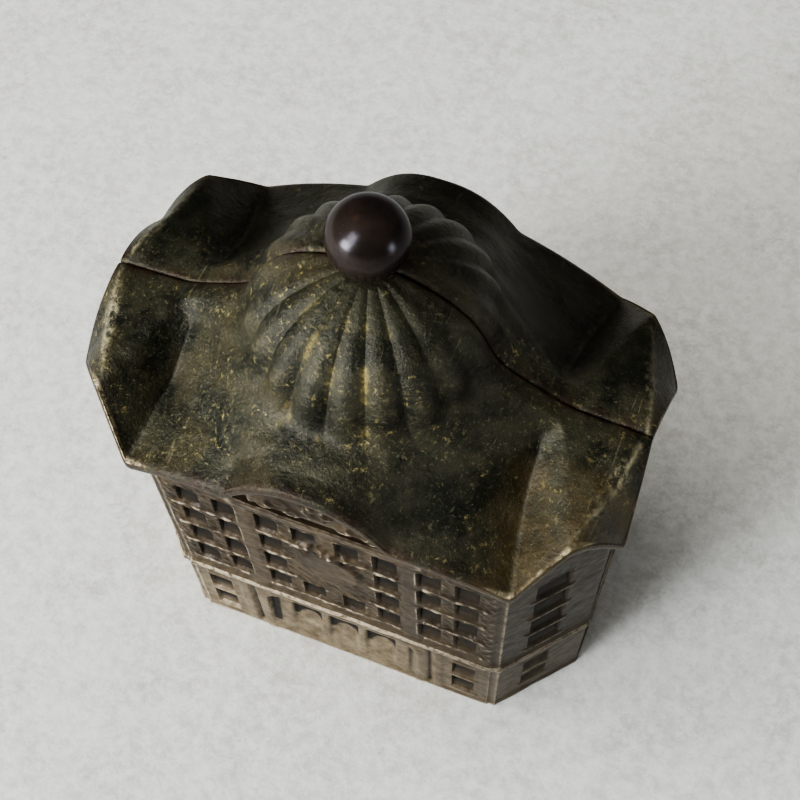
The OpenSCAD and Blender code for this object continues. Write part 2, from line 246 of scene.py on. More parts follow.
def face_samples():
    """Places along the outline: point, face number and distance from the face's start."""
    places, faces, along = [], [], []
    for k, (p, q) in enumerate(zip(OUTLINE[:-1], OUTLINE[1:])):
        length = np.linalg.norm(q - p)
        marks = np.linspace(0, length, max(2, round(length / GRID_STEP)) + 1)
        if k == FRONT_FACE:
            half = length / 2
            slot_marks = np.array((half - SLOT_HALF, half + SLOT_HALF))
            near = np.abs(marks[:, None] - slot_marks).argmin(0)
            marks[near] = slot_marks
        for m in marks[: None if k == len(OUTLINE) - 2 else -1]:
            places.append(mix(p, q, m / length))
            faces.append(k)
            along.append(m)
    return np.array(places), np.array(faces), np.array(along)


def window(x, z, centre, half_w, low, high):
    """A blind window: a recess in a thin raised frame, on a sill that stands out."""
    slope = np.clip((z - low) / (high - low), 0, 1)
    recess = -WINDOW_IN * mix(0.3, 1.0, slope) * panel(x, z, centre, half_w, low, high, 0.12)
    frame_out = 0.12 * panel(x, z, centre, half_w + 0.6, low - 0.2, high + 0.6, 0.2)
    return recess + frame_out


def storey_lows():
    return [FIRST_SILL + k * STOREY_H for k in range(4)]


def front_relief(x, z):
    h = np.zeros_like(x)
    glass = np.zeros_like(x)
    ax = np.abs(x)
    for k, low in enumerate(storey_lows()):
        for b, centre in enumerate(BAYS):
            if b == 0 and k in (1, 2):
                continue
            h += window(ax, z, centre, WINDOW_W / 2, low, low + WINDOW_H)
            glass += panel(ax, z, centre, WINDOW_W / 2 + 0.3, low - 0.3, low + WINDOW_H + 0.3, 0.3)
        sill = 0.42 * band(z, low - 1.25, low - 0.35, 0.2)
        span = band(ax, 16.9, 28.2, 0.2) + band(ax, 6.6 if k in (1, 2) else -1, 12.7, 0.2)
        h += sill * span
    plain_strip = band(ax, 13.2, 16.2, 0.25) * band(z, LEDGE_Z + 2, 65, 0.4)
    rough_zone = (1 - plain_strip) * (1 - glass) * (1 - disc(x, z, 0, SCREW_Z, PLAQUE_R, 0.3))
    h += 0.28 * plain_strip + tracery(x, z) * rough_zone * band(z, FIRST_SILL - 2, 64.5, 0.4)
    h += 0.22 * band(ax, 27.6, 30, 0.2) * band(z, LEDGE_Z + 2.4, 64, 0.3)
    h += 0.55 * band(z, 64.9, SLOT_Z - 0.15, 0.25) * soft_step(-ax, -17.2, 0.4)
    h += plaque_relief(x, z)
    h += arch_relief(x, z)
    h += ground_front(x, z)
    return h


def tracery(x, z):
    """Worn low ornament between the windows: small scrolls in rows, softened by a rough cast skin."""
    swirl = np.sin(2.3 * x + 1.1 * np.sin(1.7 * z)) * np.sin(2.1 * z + 0.9 * np.sin(1.9 * x))
    return 0.13 * swirl + 0.14 * ground_noise(71, x, z, 1.8)


def plaque_relief(x, z):
    """A smooth round plaque with a worn rim and a small scrolled crest."""
    out = RELIEF_OUT * disc(x, z, 0, SCREW_Z, PLAQUE_R + 0.3, 0.3)
    rim = 0.08 * ring(x, z, 0, SCREW_Z, PLAQUE_R - 0.3, 0.6)
    crest = np.zeros_like(x)
    for side in (-1, 1):
        crest += 0.38 * ring(x, z, side * 2.1, SCREW_Z + PLAQUE_R + 1.7, 1.25, 0.5)
        crest += 0.34 * ring(x, z, side * 5.2, SCREW_Z + PLAQUE_R - 0.4, 1.2, 0.5)
    crest += 0.6 * disc(x, z, 0, SCREW_Z + PLAQUE_R + 0.9, 1.0, 0.3)
    return out + rim + crest * (1 - disc(x, z, 0, SCREW_Z, PLAQUE_R, 0.3))


ARCH_Z = SLOT_Z + SLOT_H + 0.5
ARCH_R = 12.4


def arch_relief(x, z):
    """The half disc over the slot: a rosette between two scrolls and leaves, inside a plain band."""
    r = np.hypot(x, z - ARCH_Z)
    inside = soft_step(-r, -ARCH_R, 0.3) * soft_step(z, ARCH_Z, 0.2)
    feet = 0.0 * x
    for side in (-1, 1):
        feet = np.maximum(feet, disc(x, z, side * 9.2, ARCH_Z + 1.1, 1.9, 0.25))
    out = RELIEF_OUT * np.maximum(inside, feet)
    h = 0.35 * np.exp(-(((r - ARCH_R + 0.9) / 0.6) ** 2)) * (z > ARCH_Z)
    angle = np.arctan2(z - ARCH_Z - 4.6, x)
    rosette = np.hypot(x, z - ARCH_Z - 4.6)
    petals = 2.3 + 0.55 * np.cos(6 * angle)
    h += 0.6 * soft_step(-rosette, -petals, 0.25) - 0.35 * disc(x, z, 0, ARCH_Z + 4.6, 0.8, 0.25)
    for side in (-1, 1):
        for cx, cz, rad in ((6.9, 3.0, 1.9), (9.2, 1.1, 1.1), (4.3, 1.2, 1.0), (4.6, 8.0, 1.3)):
            h += 0.36 * ring(x, z, side * cx, ARCH_Z + cz, rad, 0.46)
            h += 0.3 * disc(x, z, side * cx, ARCH_Z + cz, rad * 0.35, 0.25)
    return out + h * np.maximum(inside, feet)


PORTAL_HALF = 15.0
PORTAL_TOP = 21.0
PORTAL_IN = 1.0
DOOR_PITCH = 7.6
DOOR_HALF = 2.8
DOOR_HEAD = 15.4
DOOR_IN = 1.1


def door_share(x, z):
    """1 inside a round-headed door about x = 0."""
    arch = np.where(z > DOOR_HEAD, np.hypot(x, z - DOOR_HEAD), np.abs(x))
    return soft_step(-arch, -DOOR_HALF, 0.25)


def ground_front(x, z):
    """Wing windows and the recessed entrance: three round-headed doors over a worn slope."""
    ax = np.abs(x)
    h = np.zeros_like(x)
    for low, high in ((4.4, 11.2), (13.4, 19.6)):
        h += window(ax, z, BAYS[3], 2.1, low, high)
        h += 0.35 * panel(ax, z, BAYS[3], 2.9, low - 1.1, low - 0.3, 0.2)
    h += 0.3 * panel(ax, z, BAYS[3], 2.6, 21.2, 23.6, 0.2)
    h -= 0.3 * panel(ax, z, BAYS[3], 1.9, 21.8, 23.1, 0.2)
    h += 0.3 * band(ax, 18.6, 20.6, 0.25) * band(z, 1.2, 23.2, 0.3)
    h -= 0.55 * np.exp(-(((ax - 17.9) / 0.45) ** 2)) * band(z, 1.5, 22.8, 0.3)
    round_r = 4.5
    cx = np.maximum(ax - (PORTAL_HALF - round_r), 0)
    cz = np.maximum(z - (PORTAL_TOP - round_r), 0)
    edge = np.where(ax > PORTAL_HALF - round_r, np.hypot(cx, cz), cz)
    opening = soft_step(-edge, -round_r, 0.2)
    h += 0.22 * (soft_step(-edge, -round_r - 1.6, 0.35) - opening)
    inwards = np.clip((z - 2.0) / 13.0, 0, 1)
    door = np.zeros_like(x)
    for k in (-1, 0, 1):
        door = np.maximum(door, door_share(x - k * DOOR_PITCH, z))
    return h - opening * inwards * (PORTAL_IN + DOOR_IN * door)


def front_tone(x, z):
    """What the front wall's tone adds: painted shade on the entrance's side reveals, painted shadow
    under the door heads, and rubbed or spared places.
    """
    # Painted shade on the entrance's left and right side reveals.
    tone = -0.9 * band(x, -PORTAL_HALF + 0.2, -PORTAL_HALF + 1.7, 0.35) * band(z, 5, PORTAL_TOP - 2, 0.8)
    tone -= 0.5 * band(x, PORTAL_HALF - 1.8, PORTAL_HALF - 0.8, 0.3) * band(z, 3, PORTAL_TOP - 3, 0.8)
    # Painted shadow in the top of each door niche, under its round head.
    for k in (-1, 0, 1):
        dx = x - k * DOOR_PITCH
        under_head = soft_step(np.hypot(dx - 0.3, z - DOOR_HEAD + 4.3), DOOR_HALF - 0.6, 0.35)
        tone -= 0.9 * door_share(dx, z) * under_head * soft_step(z, DOOR_HEAD - 4.6, 0.7)
    tone += 0.30 * disc(x, z, -DOOR_PITCH + 0.8, 8.5, 2.4, 1.2)
    tone += 0.30 * band(z, 0.2, 0.9, 0.2)
    tone -= 0.30 * ring(x, z, 0, SCREW_Z, PLAQUE_R + 0.3, 0.8)
    tone -= 0.20 * disc(x, z, 0, SCREW_Z + PLAQUE_R + 1.3, 3.8, 0.6)
    return tone - 0.14 * disc(x, z, 0, ARCH_Z, ARCH_R + 1, 0.5) * (z > ARCH_Z)


def corner_relief(s, z):
    h = np.zeros_like(s)
    centre = CORNER_L * 0.47
    for low in storey_lows():
        h += window(s, z, centre, 3.1, low - 1, low - 1 + WINDOW_H + 0.4)
        h += 0.42 * panel(s, z, centre, 4.1, low - 2.2, low - 1.4, 0.2)
    for low in (6.6, 14.8):
        h += window(s, z, centre - 0.6, 2.6, low, low + 4.6)
        h += 0.35 * panel(s, z, centre - 0.6, 3.4, low - 1.1, low - 0.3, 0.2)
    return h


def end_relief(y, z):
    h = np.zeros_like(y)
    for low in storey_lows():
        h += window(y, z, HALF_END / 2, WINDOW_W / 2, low, low + WINDOW_H)
        h += 0.42 * panel(y, z, HALF_END / 2, 2.9, low - 1.2, low - 0.4, 0.2)
    for low in (6.6, 14.8):
        h += window(y, z, HALF_END / 2, WINDOW_W / 2, low, low + 4.6)
    return h


def all_round_relief(z):
    """The ledge over the ground floor, a thin moulding above it and a low plinth."""
    ledge = 0.75 * band(z, LEDGE_Z, LEDGE_Z + LEDGE_H, 0.22)
    fillet = 0.25 * band(z, LEDGE_Z + LEDGE_H, LEDGE_Z + LEDGE_H + 1.1, 0.2)
    plinth = 0.3 * soft_step(-z, -1.6, 0.25)
    return ledge + fillet + plinth


def edge_round(distance, radius=0.45):
    """How far a rounded edge falls back, by the distance from the edge."""
    d = np.clip(1 - distance / radius, 0, 1)
    return radius * 0.7 * (1 - np.sqrt(1 - d * d * 0.98))


def wall_heights(roof, places):
    """The rows' heights: even up to a fixed height, and above it shared out up to the roof."""
    fixed = np.arange(0, FIXED_TOP + 0.01, GRID_STEP)
    for mark in (SLOT_Z, SLOT_Z + SLOT_H):
        fixed[np.abs(fixed - mark).argmin()] = mark
    tops = [roof_height(roof, x, y) - ROOF_T * 0.5 for x, y in places * UNDER_ROOF]
    share = np.linspace(0, 1, UPPER_ROWS + 1)[1:, None]
    upper = mix(fixed[-1], np.array(tops)[None, :], share)
    return fixed, np.vstack([np.repeat(fixed[:, None], len(places), 1), upper])


def wall_relief(places, faces_of, along, zs, seed):
    """How far the outer face stands out, and each place's tone: rubbed above 0, painted shade below 0.
    """
    rows = len(zs)
    s = np.repeat(along[None, :], rows, 0)
    k = np.repeat(faces_of[None, :], rows, 0)
    h = np.zeros_like(zs)
    is_front = k == FRONT_FACE
    h[is_front] = front_relief(s[is_front] - HALF_FRONT, zs[is_front])
    h[k == 1] = corner_relief(CORNER_L - s[k == 1], zs[k == 1])
    h[k == 5] = corner_relief(s[k == 5], zs[k == 5])
    h[k == 0] = end_relief(s[k == 0], zs[k == 0])
    h[k == 6] = end_relief(HALF_END - s[k == 6], zs[k == 6])
    strip_l = math.hypot(STRIP_X - HALF_FRONT, HALF_D - STRIP_Y)
    in_strip = (k == 2) | (k == 4)
    h[in_strip] += STRIP_OUT * np.cos(2 * math.pi * s[in_strip] / strip_l)
    h += all_round_relief(zs)
    run = np.concatenate([[0], np.linalg.norm(np.diff(places, axis=0), axis=1).cumsum()])
    h += 0.07 * ground_noise(seed, np.repeat(run[None, :], rows, 0), zs, 2.6)
    stands = np.maximum(h, -0.1)
    portal = is_front & (np.abs(s - HALF_FRONT) < PORTAL_HALF) & (zs < PORTAL_TOP)
    # Below 0 the tone is painted shade in the recesses, darkest at the window heads; the entrance keeps
    # only a little of it.
    tone = stands - smoothed(stands, 24) + np.minimum(h + 0.1, 0) * np.where(portal, 0.13, 1)
    tone[is_front] += front_tone(HALF_FRONT - s[is_front], zs[is_front])
    ledge_top = LEDGE_Z + LEDGE_H
    tone += 0.45 * band(zs, ledge_top - 0.5, ledge_top + 0.1, 0.15)
    tone[in_strip] += 0.12
    return h - edge_round(np.abs(places[:, 1]))[None, :] - edge_round(zs, 0.5), tone


def outer_points(places, zs, h):
    """The outer face. Its upright corners are rounded, as the normals turn over a short stretch."""
    soft = places.copy()
    for _ in range(3):
        soft[1:-1] = (soft[:-2] + 2 * soft[1:-1] + soft[2:]) / 4
    tangent = np.gradient(soft, axis=0)
    tangent[0] = (0, -1)
    tangent[-1] = (0, 1)
    tangent /= np.linalg.norm(tangent, axis=1)[:, None]
    x = soft[None, :, 0] - tangent[None, :, 1] * h
    y = soft[None, :, 1] + tangent[None, :, 0] * h
    y[:, 0] = 0
    y[:, -1] = 0
    return np.stack([x, y, zs], -1).reshape(-1, 3)


def inner_points(roof):
    """The plan line of the inner face, and its points in four rows."""
    line = inset_outline(WALL_T)
    slot_pair = [(SLOT_HALF, -HALF_D + WALL_T), (-SLOT_HALF, -HALF_D + WALL_T)]
    line = np.vstack([line[:4], slot_pair, line[4:]])
    tops = [roof_height(roof, q[0], q[1] * 0.99) - ROOF_T * 0.5 for q in line]
    points = [(q[0], q[1], z) for z in (FLOOR_T, SLOT_Z, SLOT_Z + SLOT_H) for q in line]
    return line, points + [(q[0], q[1], top) for q, top in zip(line, tops)]


def inner_faces(start, n_in, with_slot):
    faces = []
    for j in range(3):
        for i in range(n_in - 1):
            if with_slot and j == 1 and i == 4:
                continue
            a = start + j * n_in + i
            faces.append((a, a + 1, a + n_in + 1, a + n_in))
    return faces


def slot_faces(low_row, high_row, left, right, cols, start, n_in):
    """The coin slot's four sides, through the wall."""
    low_left, low_right = start + n_in + 4, start + n_in + 5
    top_left, top_right = low_left + n_in, low_right + n_in
    bottom = [low_row * cols + i for i in range(left, right + 1)]
    top = [high_row * cols + i for i in range(right, left - 1, -1)]
    near = [j * cols + left for j in range(high_row, low_row - 1, -1)]
    far = [j * cols + right for j in range(low_row, high_row + 1)]
    return [
        bottom + [low_right, low_left], top + [top_left, top_right],
        near + [low_left, top_left], far + [top_right, low_right],
    ]


def build_walls(name, roof, with_slot, seed):
    places, faces_of, along = face_samples()
    fixed, zs = wall_heights(roof, places)
    rows, cols = zs.shape
    h, tone = wall_relief(places, faces_of, along, zs, seed)
    outer = outer_points(places, zs, h)
    inner_line, inner = inner_points(roof)
    n_in, start = len(inner_line), len(outer)

    low_row, high_row = (int(np.abs(fixed - z).argmin()) for z in (SLOT_Z, SLOT_Z + SLOT_H))
    front = np.where(faces_of == FRONT_FACE)[0]
    left, right = (
        front[np.abs(along[front] - (HALF_FRONT + side * SLOT_HALF)).argmin()] for side in (-1, 1)
    )
    faces = []
    for j in range(rows - 1):
        for i in range(cols - 1):
            if with_slot and low_row <= j < high_row and left <= i < right:
                continue
            a = j * cols + i
            faces.append((a, a + cols, a + cols + 1, a + 1))
    faces += inner_faces(start, n_in, with_slot)
    if with_slot:
        faces += slot_faces(low_row, high_row, left, right, cols, start, n_in)
    # the rim at the top, hidden in the roof: one face for each stretch of the inner line
    last = (rows - 1) * cols
    nearest = [int(np.linalg.norm(places - q, axis=1).argmin()) for q in inner_line]
    nearest[0], nearest[-1] = 0, cols - 1
    for i in range(n_in - 1):
        outer_run = [last + c for c in range(nearest[i + 1], nearest[i] - 1, -1)]
        faces.append(outer_run + [start + 3 * n_in + i, start + 3 * n_in + i + 1])
    # the floor's underside and top, and the seam face that runs round the shell
    faces.append(list(range(cols)))
    faces.append([start + i for i in range(n_in - 1, -1, -1)])
    seam = [j * cols for j in range(rows)]
    seam += [start + j * n_in for j in (3, 2, 1, 0)]
    seam += [start + n_in - 1 + j * n_in for j in range(4)]
    seam += [j * cols + cols - 1 for j in range(rows - 1, -1, -1)]
    faces.append(seam[::-1])
    obj = new_object(name, np.vstack([outer, inner]), faces)
    # The walls' relief values carry the rub and the painted shade that the wall paint reads.
    set_values(obj, "relief", tone.ravel())
    set_values(obj, "outside", np.ones(len(outer)))
    return obj


# ---- roof and dome

STEPS = (44, 44, 44, 60, 80)
BOWS = (2.2, 2.0, 0.4, 0.9, 0.0)
ARCH_POWER = 2.4
CROWN_TURN = (90, 85, 80, 58, 26, 0)
SLOPE_SHIFT = {2: np.array((-0.2, -1.6, -0.4)), 3: np.array((-0.7, -0.3, -0.2))}
SLOPE_ROWS = (6, 16, 18, 16)
DOME_ROWS = 44
UNDER_STEP = 6


def lobe_radius(turn, rise):
    """Radius of the dome at an angle round it, and at a share of its height."""
    plain = DOME_R * np.sqrt(np.clip(1 - rise * rise, 0, 1))
    phase = np.abs(np.sin(np.radians(turn) * LOBES / 2))
    from_foot = 0.35 + 0.65 * np.clip(rise / 0.3, 0, 1) ** 0.7
    return plain - GROOVE * from_foot * (1 - phase**1.1) * (1 - 0.5 * rise)


def crown_at(turn):
    r = lobe_radius(turn, 0) + 0.2
    return np.array((r * np.sin(np.radians(turn)), -r * np.cos(np.radians(turn)), DOME_Z - 0.2))


def key_rows():
    """The roof's rows of key places, each from the end seam round to the big arch."""
    eave = [SEAM_END, END_TIP, CORNER_PEAK, TIP, ARCH_FOOT, ARCH_TOP]
    fold_line = (SEAM_END + CORNER_PEAK) / 2
    breaks = [
        SEAM_END + (-0.9, 0, 0.1), fold_line + (-0.4, 0, 0.6), CORNER_PEAK + (-0.8, 0.8, 0.3),
        TIP + (-1, 4.1, 1.1), ARCH_FOOT + (-0.4, 3.4, 2), ARCH_TOP + (0, 3.4, 0.5),
    ]
    fold_x = mix(SEAM_END[0], DOME_R - GROOVE - DOME_T / 2, 0.474)
    foot = mix(ARCH_FOOT, crown_at(26), 0.6)
    seam_z = SEAM_END[2]
    fold = [
        np.array((fold_x, 0, seam_z + 1)), np.array((fold_x - 0.1, -1.5, seam_z + 1.1)),
        np.array((fold_x - 0.2, -2.9, seam_z + 1.2)), np.array((fold_x - 2.8, -4.8, seam_z - 0.2)),
        np.array((mix(ARCH_FOOT[0], crown_at(26)[0], 0.4), foot[1], foot[2])),
        mix(ARCH_TOP, crown_at(0), 0.6),
    ]
    plan_share = (0.5, 0.63, 0.53, 0.605, 0.69, 0.75)
    height_share = (0.4, 0.94, 0.64, 0.45, 0.58, 0.62)
    slope = []
    for k in range(6):
        p = mix(eave[k], fold[k], plan_share[k])
        p[2] = mix(eave[k][2], fold[k][2], height_share[k])
        slope.append(p + SLOPE_SHIFT.get(k, np.zeros(3)))
    return eave, breaks, slope, fold


def quarter_row(row, bow_share):
    points = []
    for k in range(5):
        a, b = np.asarray(row[k], float), np.asarray(row[k + 1], float)
        for t in np.arange(STEPS[k]) / STEPS[k]:
            p = mix(a, b, t)
            if k == 4:
                p[2] = mix(b[2], a[2], (1 - t) ** ARCH_POWER)
            else:
                p[2] += 4 * BOWS[k] * bow_share * t * (1 - t)
            points.append(p)
    points.append(np.asarray(row[5], float))
    return np.array(points)


def column_turns():
    turns = []
    for k in range(5):
        turns += list(mix(CROWN_TURN[k], CROWN_TURN[k + 1], np.arange(STEPS[k]) / STEPS[k]))
    return np.array(turns + [0.0])


def turned(radius, angle, height):
    """A row of places round the dome's axis, all at one height."""
    return np.stack([radius * np.sin(angle), -radius * np.cos(angle), np.full(len(angle), height)], 1)


def roof_top_grid():
    """Heights and places of the whole upper surface of one quarter, from the eave to the crown."""
    eave, breaks, slope, fold = key_rows()
    turns = column_turns()
    crown = np.array([crown_at(t) for t in turns])
    keys = ((eave, 1), (breaks, 0.35), (slope, 0.1), (fold, 0))
    rows = [quarter_row(row, bow) for row, bow in keys] + [crown]
    grid = []
    for a, b, count in zip(rows[:-1], rows[1:], SLOPE_ROWS):
        grid += [mix(a, b, t) for t in np.arange(count) / count]
    dome_from = len(grid)
    angle = np.radians(turns)
    rise_end = math.sqrt(1 - (CROWN_R / DOME_R) ** 2)
    for j in range(DOME_ROWS):
        rise = rise_end * math.sin(math.pi / 2 * j / (DOME_ROWS - 1))
        grid.append(turned(lobe_radius(turns, rise), angle, DOME_Z + DOME_H * rise))
    for r in np.linspace(CROWN_R * 0.8, HOLE_R, 5):
        grid.append(turned(r, angle, grid[-1][0, 2] - 0.02))
    return np.array(grid), dome_from


def relax(grid, times, keep_from=None):
    """Rounds a quarter's creases. Beyond its two end columns the surface is its own mirror."""
    g = grid.copy()
    for _ in range(times):
        seam_side = g[:, 1:2] * (1, -1, 1)
        middle_side = g[:, -2:-1] * (-1, 1, 1)
        wide = np.concatenate([seam_side, g, middle_side], 1)
        across = (wide[:, :-2] + 2 * g + wide[:, 2:]) / 4
        down = across.copy()
        down[1:-1] = (across[:-2] + 2 * across[1:-1] + across[2:]) / 4
        if keep_from is not None:
            down[keep_from:] = g[keep_from:]
        g = down
    return g


def even_columns(grid, dome_from, times):
    """Rounds along the columns only, near the dome's foot."""
    g = grid.copy()
    for _ in range(times):
        part = g[dome_from - 12 : dome_from + 9]
        part[1:-1] = (part[:-2] + 2 * part[1:-1] + part[2:]) / 4
    return g


def soften_ends(grid, times):
    """Rounds the slope across its columns near the end wall, where they lie close together."""
    g = grid.copy()
    for _ in range(times):
        mirror = g[:, 1:2] * (1, -1, 1)
        wide = np.concatenate([mirror, g, g[:, -1:]], 1)
        g = (wide[:, :-2] + 2 * g + wide[:, 2:]) / 4
    rows, cols = np.arange(len(grid))[:, None], np.arange(grid.shape[1])[None, :]
    share = soft_step(rows, SLOPE_ROWS[0] + 8, 2.0) * soft_step(-cols, -118, 8.0)
    return mix(grid, g, share[..., None])


def whole_half(quarter):
    left = quarter[:, -2::-1] * (-1, 1, 1)
    return np.concatenate([quarter, left], 1)


def shaped_top(seed):
    """One half's upper surface, the row where its dome starts, and how rubbed each place is."""
    quarter, dome_from = roof_top_grid()
    quarter = relax(quarter, 9, dome_from - 4)
    quarter = even_columns(quarter, dome_from, 30)
    top = whole_half(soften_ends(quarter, 90))
    wear = stands_out(top, 12) * 2.6 + stands_out(top, 50) * 0.25
    cast = 0.16 * ground_noise(seed, top[..., 0], top[..., 1], 7.0)
    cast += 0.05 * ground_noise(seed + 1, top[..., 0], top[..., 1], 2.3)
    fade = np.clip(np.abs(top[..., 1]) / 2, 0, 1) * np.clip(np.arange(len(top))[:, None] / 8, 0, 1)
    fade = fade * np.clip((DOME_Z + 12 - top[..., 2]) / 8, 0, 1)
    top[..., 2] += cast * fade
    top[..., 2] -= edge_round(np.abs(top[..., 1]), 0.75)
    return top, dome_from, wear


def eave_rim(edge):
    """The eave's edge: rolled over, with its lower lip on the frame's outline."""
    out = edge * (1, 1, 0)
    out /= np.linalg.norm(out, axis=1)[:, None]
    out[0], out[-1] = (1, 0, 0), (-1, 0, 0)
    profile = ((-0.42, 0.0), (-0.12, -0.28), (0, -0.8), (0, -1.5), (-0.15, -1.95), (-0.5, -ROOF_T))
    return [edge + out * a + np.array((0, 0, b)) for a, b in profile]


def roof_underside(top, dome_from, lip, angle):
    under = [lip] + [top[j] - (0, 0, ROOF_T) for j in range(UNDER_STEP, dome_from, UNDER_STEP)]
    inner_r, inner_h = DOME_R - GROOVE - DOME_T, DOME_H - DOME_T - 0.6
    for a in np.radians(np.linspace(0, 82, 9)):
        under.append(turned(inner_r * math.cos(a), angle, DOME_Z + inner_h * math.sin(a)))
    under.append(turned(HOLE_R, angle, under[-1][0, 2]))
    return under


def roof_values(top, dome_from, angle, wear):
    """What the material reads from each place of the upper surface."""
    rows, cols = top.shape[:2]
    groove = np.zeros((rows, cols))
    phase = np.abs(np.sin(angle * LOBES / 2))
    groove[dome_from - 6 :] = np.clip(1 - phase * 1.15, 0, 1)[None, :]
    from_eave = np.linalg.norm(top - top[:1], axis=-1)
    from_edge = np.minimum(from_eave, np.abs(top[..., 1]))
    near_tips = np.full((rows, cols), 1e3)
    for tip in (TIP, CORNER_PEAK, mix(TIP, CORNER_PEAK, 0.5)):
        for side in (-1, 1):
            from_tip = np.linalg.norm(top[..., :2] - (side * tip[0], tip[1]), axis=-1)
            near_tips = np.minimum(near_tips, from_tip)
    from_ridge = np.linalg.norm(top - top[SLOPE_ROWS[0]], axis=-1)
    from_end = np.minimum(np.arange(cols), np.arange(cols)[::-1])
    near_end = soft_step(-from_end, -STEPS[0] - STEPS[1] + 4, 3.0)
    return {
        "relief": wear,
        "groove": groove,
        "rim": np.exp(-from_edge / 1.1),
        "knocks": np.exp(-from_eave / 0.8) * np.exp(-((near_tips / 4.5) ** 2)),
        "fold": np.exp(-((from_ridge / 0.36) ** 2)) * near_end,
    }


def build_roof(name, seed):
    top, dome_from, wear = shaped_top(seed)
    cols = top.shape[1]
    rim = eave_rim(top[0])
    top[0] = rim[0]
    angle = np.radians(np.concatenate([column_turns(), -column_turns()[-2::-1]]))
    under = roof_underside(top, dome_from, rim[-1], angle)
    for row in under + rim:
        row[0, 1] = 0
        row[-1, 1] = 0
    top[:, 0, 1] = 0
    top[:, -1, 1] = 0
    loops = list(top[::-1]) + rim[1:-1] + under
    points = np.concatenate(loops)
    n_loops = len(loops)
    faces = grid_faces(n_loops, cols)
    # close the loop at the crown's hole
    last = (n_loops - 1) * cols
    for i in range(cols - 1):
        faces.append((last + i, last + i + 1, i + 1, i))
    faces.append([j * cols for j in range(n_loops)])
    faces.append([j * cols + cols - 1 for j in range(n_loops - 1, -1, -1)])
    obj = new_object(name, points, faces)
    for kind, grid in roof_values(top, dome_from, angle, wear).items():
        elsewhere = np.full(len(points) - wear.size, 1.0 if kind == "rim" else 0.0)
        set_values(obj, kind, np.concatenate([grid[::-1].ravel(), elsewhere]))
    outside = np.zeros(len(points))
    outside[: wear.size + 4 * cols] = 1
    set_values(obj, "outside", outside)
    return obj


def roof_height(roof, x, y):
    hit = roof.ray_cast(Vector((x, min(y, -0.02), 300)) * MM, Vector((0, 0, -1)))
    return hit[0].z / MM


# ---- put the halves together


def place_half(obj, body, node, back):
    """The halves are made with their seam on y = 0 and their wall towards -Y."""
    turn = Matrix.Diagonal((1, -1, 1, 1)) if back else Matrix.Identity(4)
    shift = Matrix.Translation((0, SEAM_GAP / 2 * MM * (1 if back else -1), 0))
    obj.data.transform(shift @ turn)
    if back:
        obj.data.flip_normals()
    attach(obj, body)
    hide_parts(node)


HALVES = (
    ("front", "front_half", "front_casting", False),
    ("back", "back_half", "back_casting", True),
)
shells = {}
for seed, (side, body, node, back) in enumerate(HALVES):
    roof_obj = build_roof(side + "_roof", 10 + seed)
    tree = BVHTree.FromPolygons(
        [v.co for v in roof_obj.data.vertices], [p.vertices[:] for p in roof_obj.data.polygons]
    )
    walls_obj = build_walls(side + "_walls", tree, not back, 30 + seed)
    shells[side] = (walls_obj, roof_obj)
    for obj in (walls_obj, roof_obj):
        place_half(obj, body, node, back)


def lathe(name, profile, segments=96, sharp_deg=40):
    """A closed turned piece about +Z: profile is (radius, height) from bottom to top, ends at 0."""
    points = []
    for r, z in profile[1:-1]:
        for k in range(segments):
            a = 2 * math.pi * k / segments
            points.append((r * math.cos(a), r * math.sin(a), z))
    rows = len(profile) - 2
    faces = []
    for j in range(rows - 1):
        for k in range(segments):
            a, b = j * segments + k, j * segments + (k + 1) % segments
            faces.append((a, b, b + segments, a + segments))
    low, top = len(points), (rows - 1) * segments
    points += [(0, 0, profile[0][1]), (0, 0, profile[-1][1])]
    for k in range(segments):
        after = (k + 1) % segments
        faces.append((low, after, k))
        faces.append((low + 1, top + k, top + after))
    return new_object(name, points, faces, sharp_deg)


def ball_profile():
    bottom = ball_low.z
    stem_r, collar_r, neck_r = 2.0, 3.5, 2.45
    steps = 48
    profile = [
        (0, bottom), (collar_r - 0.3, bottom), (collar_r, bottom + 0.3),
        (collar_r, bottom + 1.1), (collar_r - 0.3, bottom + 1.4), (stem_r, bottom + 1.45),
    ]
    start = math.asin(neck_r / BALL_R)
    neck = BALL_Z - BALL_R * math.cos(start)
    profile += [(stem_r, neck - 0.9), (2.15, neck - 0.35)]
    for k in range(steps):
        a = mix(start, math.pi, k / steps)
        profile.append((BALL_R * math.sin(a), BALL_Z - BALL_R * math.cos(a)))
    profile.append((0, BALL_Z + BALL_R))
    return profile


ball = lathe("ball", ball_profile(), 128)
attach(ball, "front_half")
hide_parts("ball_finial")


def along_y(obj, y, z):
    """Lays a piece that was turned about +Z along +Y, with its start at y."""
    place = Matrix.Translation(Vector((0, y, z)) * MM)
    obj.data.transform(place @ Matrix.Rotation(math.radians(-90), 4, "X"))


POST_R = 4.2
POST_END = -4.0
BORE_R = 2.06
THREAD_L = 14.0


def build_post():
    """The tapped post for the screw, cast on the inside of the front wall."""
    root = -HALF_D + WALL_T - 0.2
    length = POST_END - root
    profile = [
        (0, 0), (POST_R + 0.9, 0), (POST_R + 0.35, 0.5), (POST_R, 1.3),
        (POST_R - 0.1, length - 0.35), (POST_R - 0.45, length), (BORE_R + 0.3, length),
        (BORE_R, length - 0.3), (BORE_R, length - THREAD_L), (0, length - THREAD_L),
    ]
    post = lathe("front_post", profile, 64)
    along_y(post, root, SCREW_Z)
    return post


LUG_T = 1.6
LUG_H = 8.0
LUG_GAP = 0.35
LUG_REACH = 2.6
LUG_FOOT = 3.6
LUG_SHORT = 0.4
LUG_LOWS = (14.0, 54.0)


